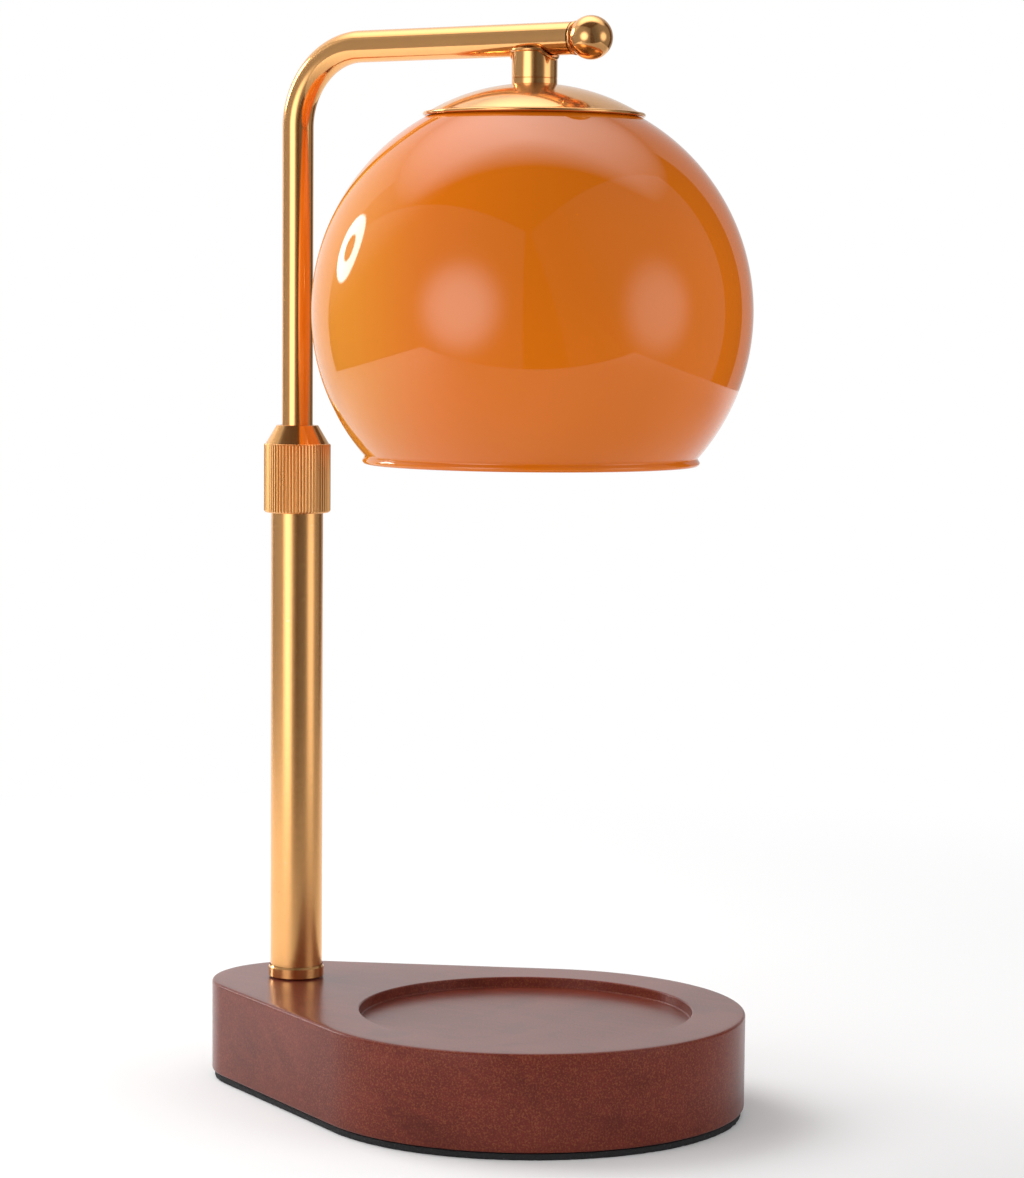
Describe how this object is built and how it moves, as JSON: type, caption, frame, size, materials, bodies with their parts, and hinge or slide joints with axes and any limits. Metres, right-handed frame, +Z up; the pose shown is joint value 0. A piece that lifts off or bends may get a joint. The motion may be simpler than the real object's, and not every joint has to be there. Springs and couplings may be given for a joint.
{
  "type": "candle warmer lamp",
  "caption": "Table lamp that warms a candle from above: wooden base with a round recess, telescoping gold pole with a knurled clamp nut, bent arm and an orange glass globe shade.",
  "frame": {"origin": "bottom centre of the base, at rest on the table", "axes": "+Z up along the pole; +X from the pole to the recess, along the arm; +Y across the base"},
  "size_m": [0.1868, 0.1384, 0.3403],
  "materials": {
    "wood": "stained red-brown, satin lacquer",
    "foam": "matte black foam",
    "rubber": "matte black",
    "lead": "smooth translucent sleeve",
    "steel": "zinc plated",
    "nylon": "natural nylon",
    "gold": "polished gold plating",
    "satin_gold": "satin gold plating",
    "orange_glass": "glossy opaque orange glass",
    "clear_glass": "clear, glossy",
    "reflector": "mirrored bowl",
    "ceramic": "unglazed white ceramic",
    "silicone": "clear silicone rubber"
  },
  "bodies": {
    "stand": {"wood_base": "wood", "base_pad": "foam", "cord_bushing": "rubber", "base_lead": "lead", "base_rod": "steel", "base_nut": "steel", "spring_washer": "steel", "base_washer": "steel", "foot_plug": "steel", "foot_ring": "gold", "lower_tube": "satin_gold", "slack_lead": "lead", "clamp_body": "gold"},
    "clamp_nut": {"clamp_nut": "satin_gold"},
    "collet": {"clamp_collet": "nylon"},
    "arm": {"guide_bush": "nylon", "arm_tube": "gold", "arm_lead": "lead", "glass_shade": "orange_glass", "lamp_lens": "clear_glass", "lamp_reflector": "reflector", "lamp_capsule": "clear_glass", "lamp_cap": "ceramic", "lamp_pin_left": "steel", "lamp_pin_right": "steel", "lamp_holder": "ceramic", "holder_bracket": "steel", "holder_screw_left": "steel", "holder_screw_right": "steel", "holder_wire_left": "silicone", "holder_wire_right": "silicone", "shade_rod": "steel", "bracket_nut": "steel", "shade_nut": "steel", "shade_plate": "steel", "shade_gasket": "silicone", "dome_cap": "gold", "stub_collar": "gold", "drop_stub": "gold", "ball_finial": "gold"}
  },
  "joints": [
    {"name": "nut_turn", "type": "hinge", "parent": "stand", "child": "clamp_nut", "pos_m": [-0.0669, 0, 0.199], "axis": [0, 0, 1], "range_deg": [0, 360]},
    {"name": "arm_swing", "type": "hinge", "parent": "stand", "child": "collet", "pos_m": [-0.0669, 0, 0.203], "axis": [0, 0, 1], "range_deg": [-175, 175]},
    {"name": "arm_height", "type": "slide", "parent": "collet", "child": "arm", "axis": [0, 0, 1], "range_m": [-0.05, 0.04], "deforming": ["slack_lead"]}
  ]
}
